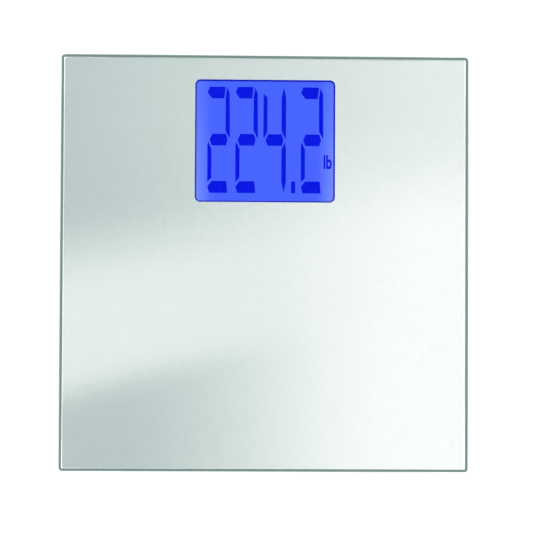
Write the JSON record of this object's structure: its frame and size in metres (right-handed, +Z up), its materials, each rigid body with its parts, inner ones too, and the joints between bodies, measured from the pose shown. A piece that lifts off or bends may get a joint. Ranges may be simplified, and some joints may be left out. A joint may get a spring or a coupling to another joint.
{
  "type": "digital bathroom scale",
  "caption": "Flat glass-topped body-weight scale with a large backlit display, on load-cell feet, with a unit button and a hinged battery door underneath.",
  "frame": {"origin": "on the resting surface, under the centre of the platform", "axes": "+Z up, +Y towards the display end, +X to the right as the display is read"},
  "size_m": [0.314, 0.32, 0.025],
  "materials": {
    "platform_glass": "clear tempered float glass, polished, faint green tint at the edges",
    "brushed_skin": "finely brushed stainless sheet",
    "black_foam": "closed-cell foam",
    "display_blue": "backlit liquid-crystal panel, glowing blue",
    "diffuser_film": "matt film",
    "clear_acrylic": "polished acrylic",
    "white_film": "glossy film",
    "board_white": "white solder mask",
    "led_resin": "clear resin",
    "ribbon_film": "polyimide film",
    "white_plastic": "moulded",
    "zinc_steel": "zinc-plated steel",
    "board_green": "green solder mask",
    "black_epoxy": "cured drop",
    "component_body": "moulded",
    "switch_black": "moulded",
    "button_plastic": "fine moulded texture",
    "housing_plastic": "fine moulded texture",
    "cell_jacket": "printed film jacket",
    "nickel_steel": "nickel-plated steel",
    "lead_insulation": "extruded insulation",
    "silicone_potting": "cured silicone",
    "pad_rubber": "moulded, ringed"
  },
  "bodies": {
    "platform": {"glass_platform": "platform_glass", "steel_skin": "brushed_skin", "window_gasket": "black_foam", "lcd_panel": "display_blue", "diffuser_sheet": "diffuser_film", "light_guide": "clear_acrylic", "reflector_sheet": "white_film", "led_strip": "board_white", "backlight_leds": "led_resin", "lcd_ribbon": "ribbon_film", "backlight_tray": "white_plastic", "tray_screws": "zinc_steel", "main_board": "board_green", "board_screws": "zinc_steel", "potted_controller": "black_epoxy", "board_components": "component_body", "unit_switch": "switch_black", "housing_frame": "housing_plastic", "housing_cover": "housing_plastic", "cover_screws": "zinc_steel", "battery_cells": "cell_jacket", "contact_springs": "nickel_steel", "contact_plates": "nickel_steel", "battery_leads": "lead_insulation", "backlight_leads": "lead_insulation", "strain_gauges": "silicone_potting", "foot_holder_front_left": "housing_plastic", "load_cell_front_left": "nickel_steel", "foot_retainer_front_left": "housing_plastic", "lead_duct_front_left": "housing_plastic", "cell_leads_front_left": "lead_insulation", "foot_holder_front_right": "housing_plastic", "load_cell_front_right": "nickel_steel", "foot_retainer_front_right": "housing_plastic", "lead_duct_front_right": "housing_plastic", "cell_leads_front_right": "lead_insulation", "foot_holder_rear_left": "housing_plastic", "load_cell_rear_left": "nickel_steel", "foot_retainer_rear_left": "housing_plastic", "lead_duct_rear_left": "housing_plastic", "cell_leads_rear_left": "lead_insulation", "foot_holder_rear_right": "housing_plastic", "load_cell_rear_right": "nickel_steel", "foot_retainer_rear_right": "housing_plastic", "lead_duct_rear_right": "housing_plastic", "cell_leads_rear_right": "lead_insulation"},
    "unit_button": {"unit_button": "button_plastic", "switch_plunger": "switch_black"},
    "battery_door": {"battery_door": "housing_plastic"},
    "foot_front_left": {"foot_front_left": "housing_plastic", "foot_pad_front_left": "pad_rubber"},
    "foot_front_right": {"foot_front_right": "housing_plastic", "foot_pad_front_right": "pad_rubber"},
    "foot_rear_left": {"foot_rear_left": "housing_plastic", "foot_pad_rear_left": "pad_rubber"},
    "foot_rear_right": {"foot_rear_right": "housing_plastic", "foot_pad_rear_right": "pad_rubber"}
  },
  "joints": [
    {"name": "foot_slide_front_left", "type": "slide", "parent": "platform", "child": "foot_front_left", "axis": [0, 0, -1], "range_m": [0, 0.0006]},
    {"name": "foot_slide_front_right", "type": "slide", "parent": "platform", "child": "foot_front_right", "axis": [0, 0, -1], "range_m": [0, 0.0006]},
    {"name": "foot_slide_rear_left", "type": "slide", "parent": "platform", "child": "foot_rear_left", "axis": [0, 0, -1], "range_m": [0, 0.0006]},
    {"name": "foot_slide_rear_right", "type": "slide", "parent": "platform", "child": "foot_rear_right", "axis": [0, 0, -1], "range_m": [0, 0.0006]},
    {"name": "unit_button_press", "type": "slide", "parent": "platform", "child": "unit_button", "axis": [0, 0, 1], "range_m": [0, 0.0005], "stiffness_N_per_m": 3000},
    {"name": "battery_door_hinge", "type": "hinge", "parent": "platform", "child": "battery_door", "pos_m": [-0.0355, -0.0187, 0.004], "axis": [-1, 0, 0], "range_deg": [0, 80]}
  ]
}
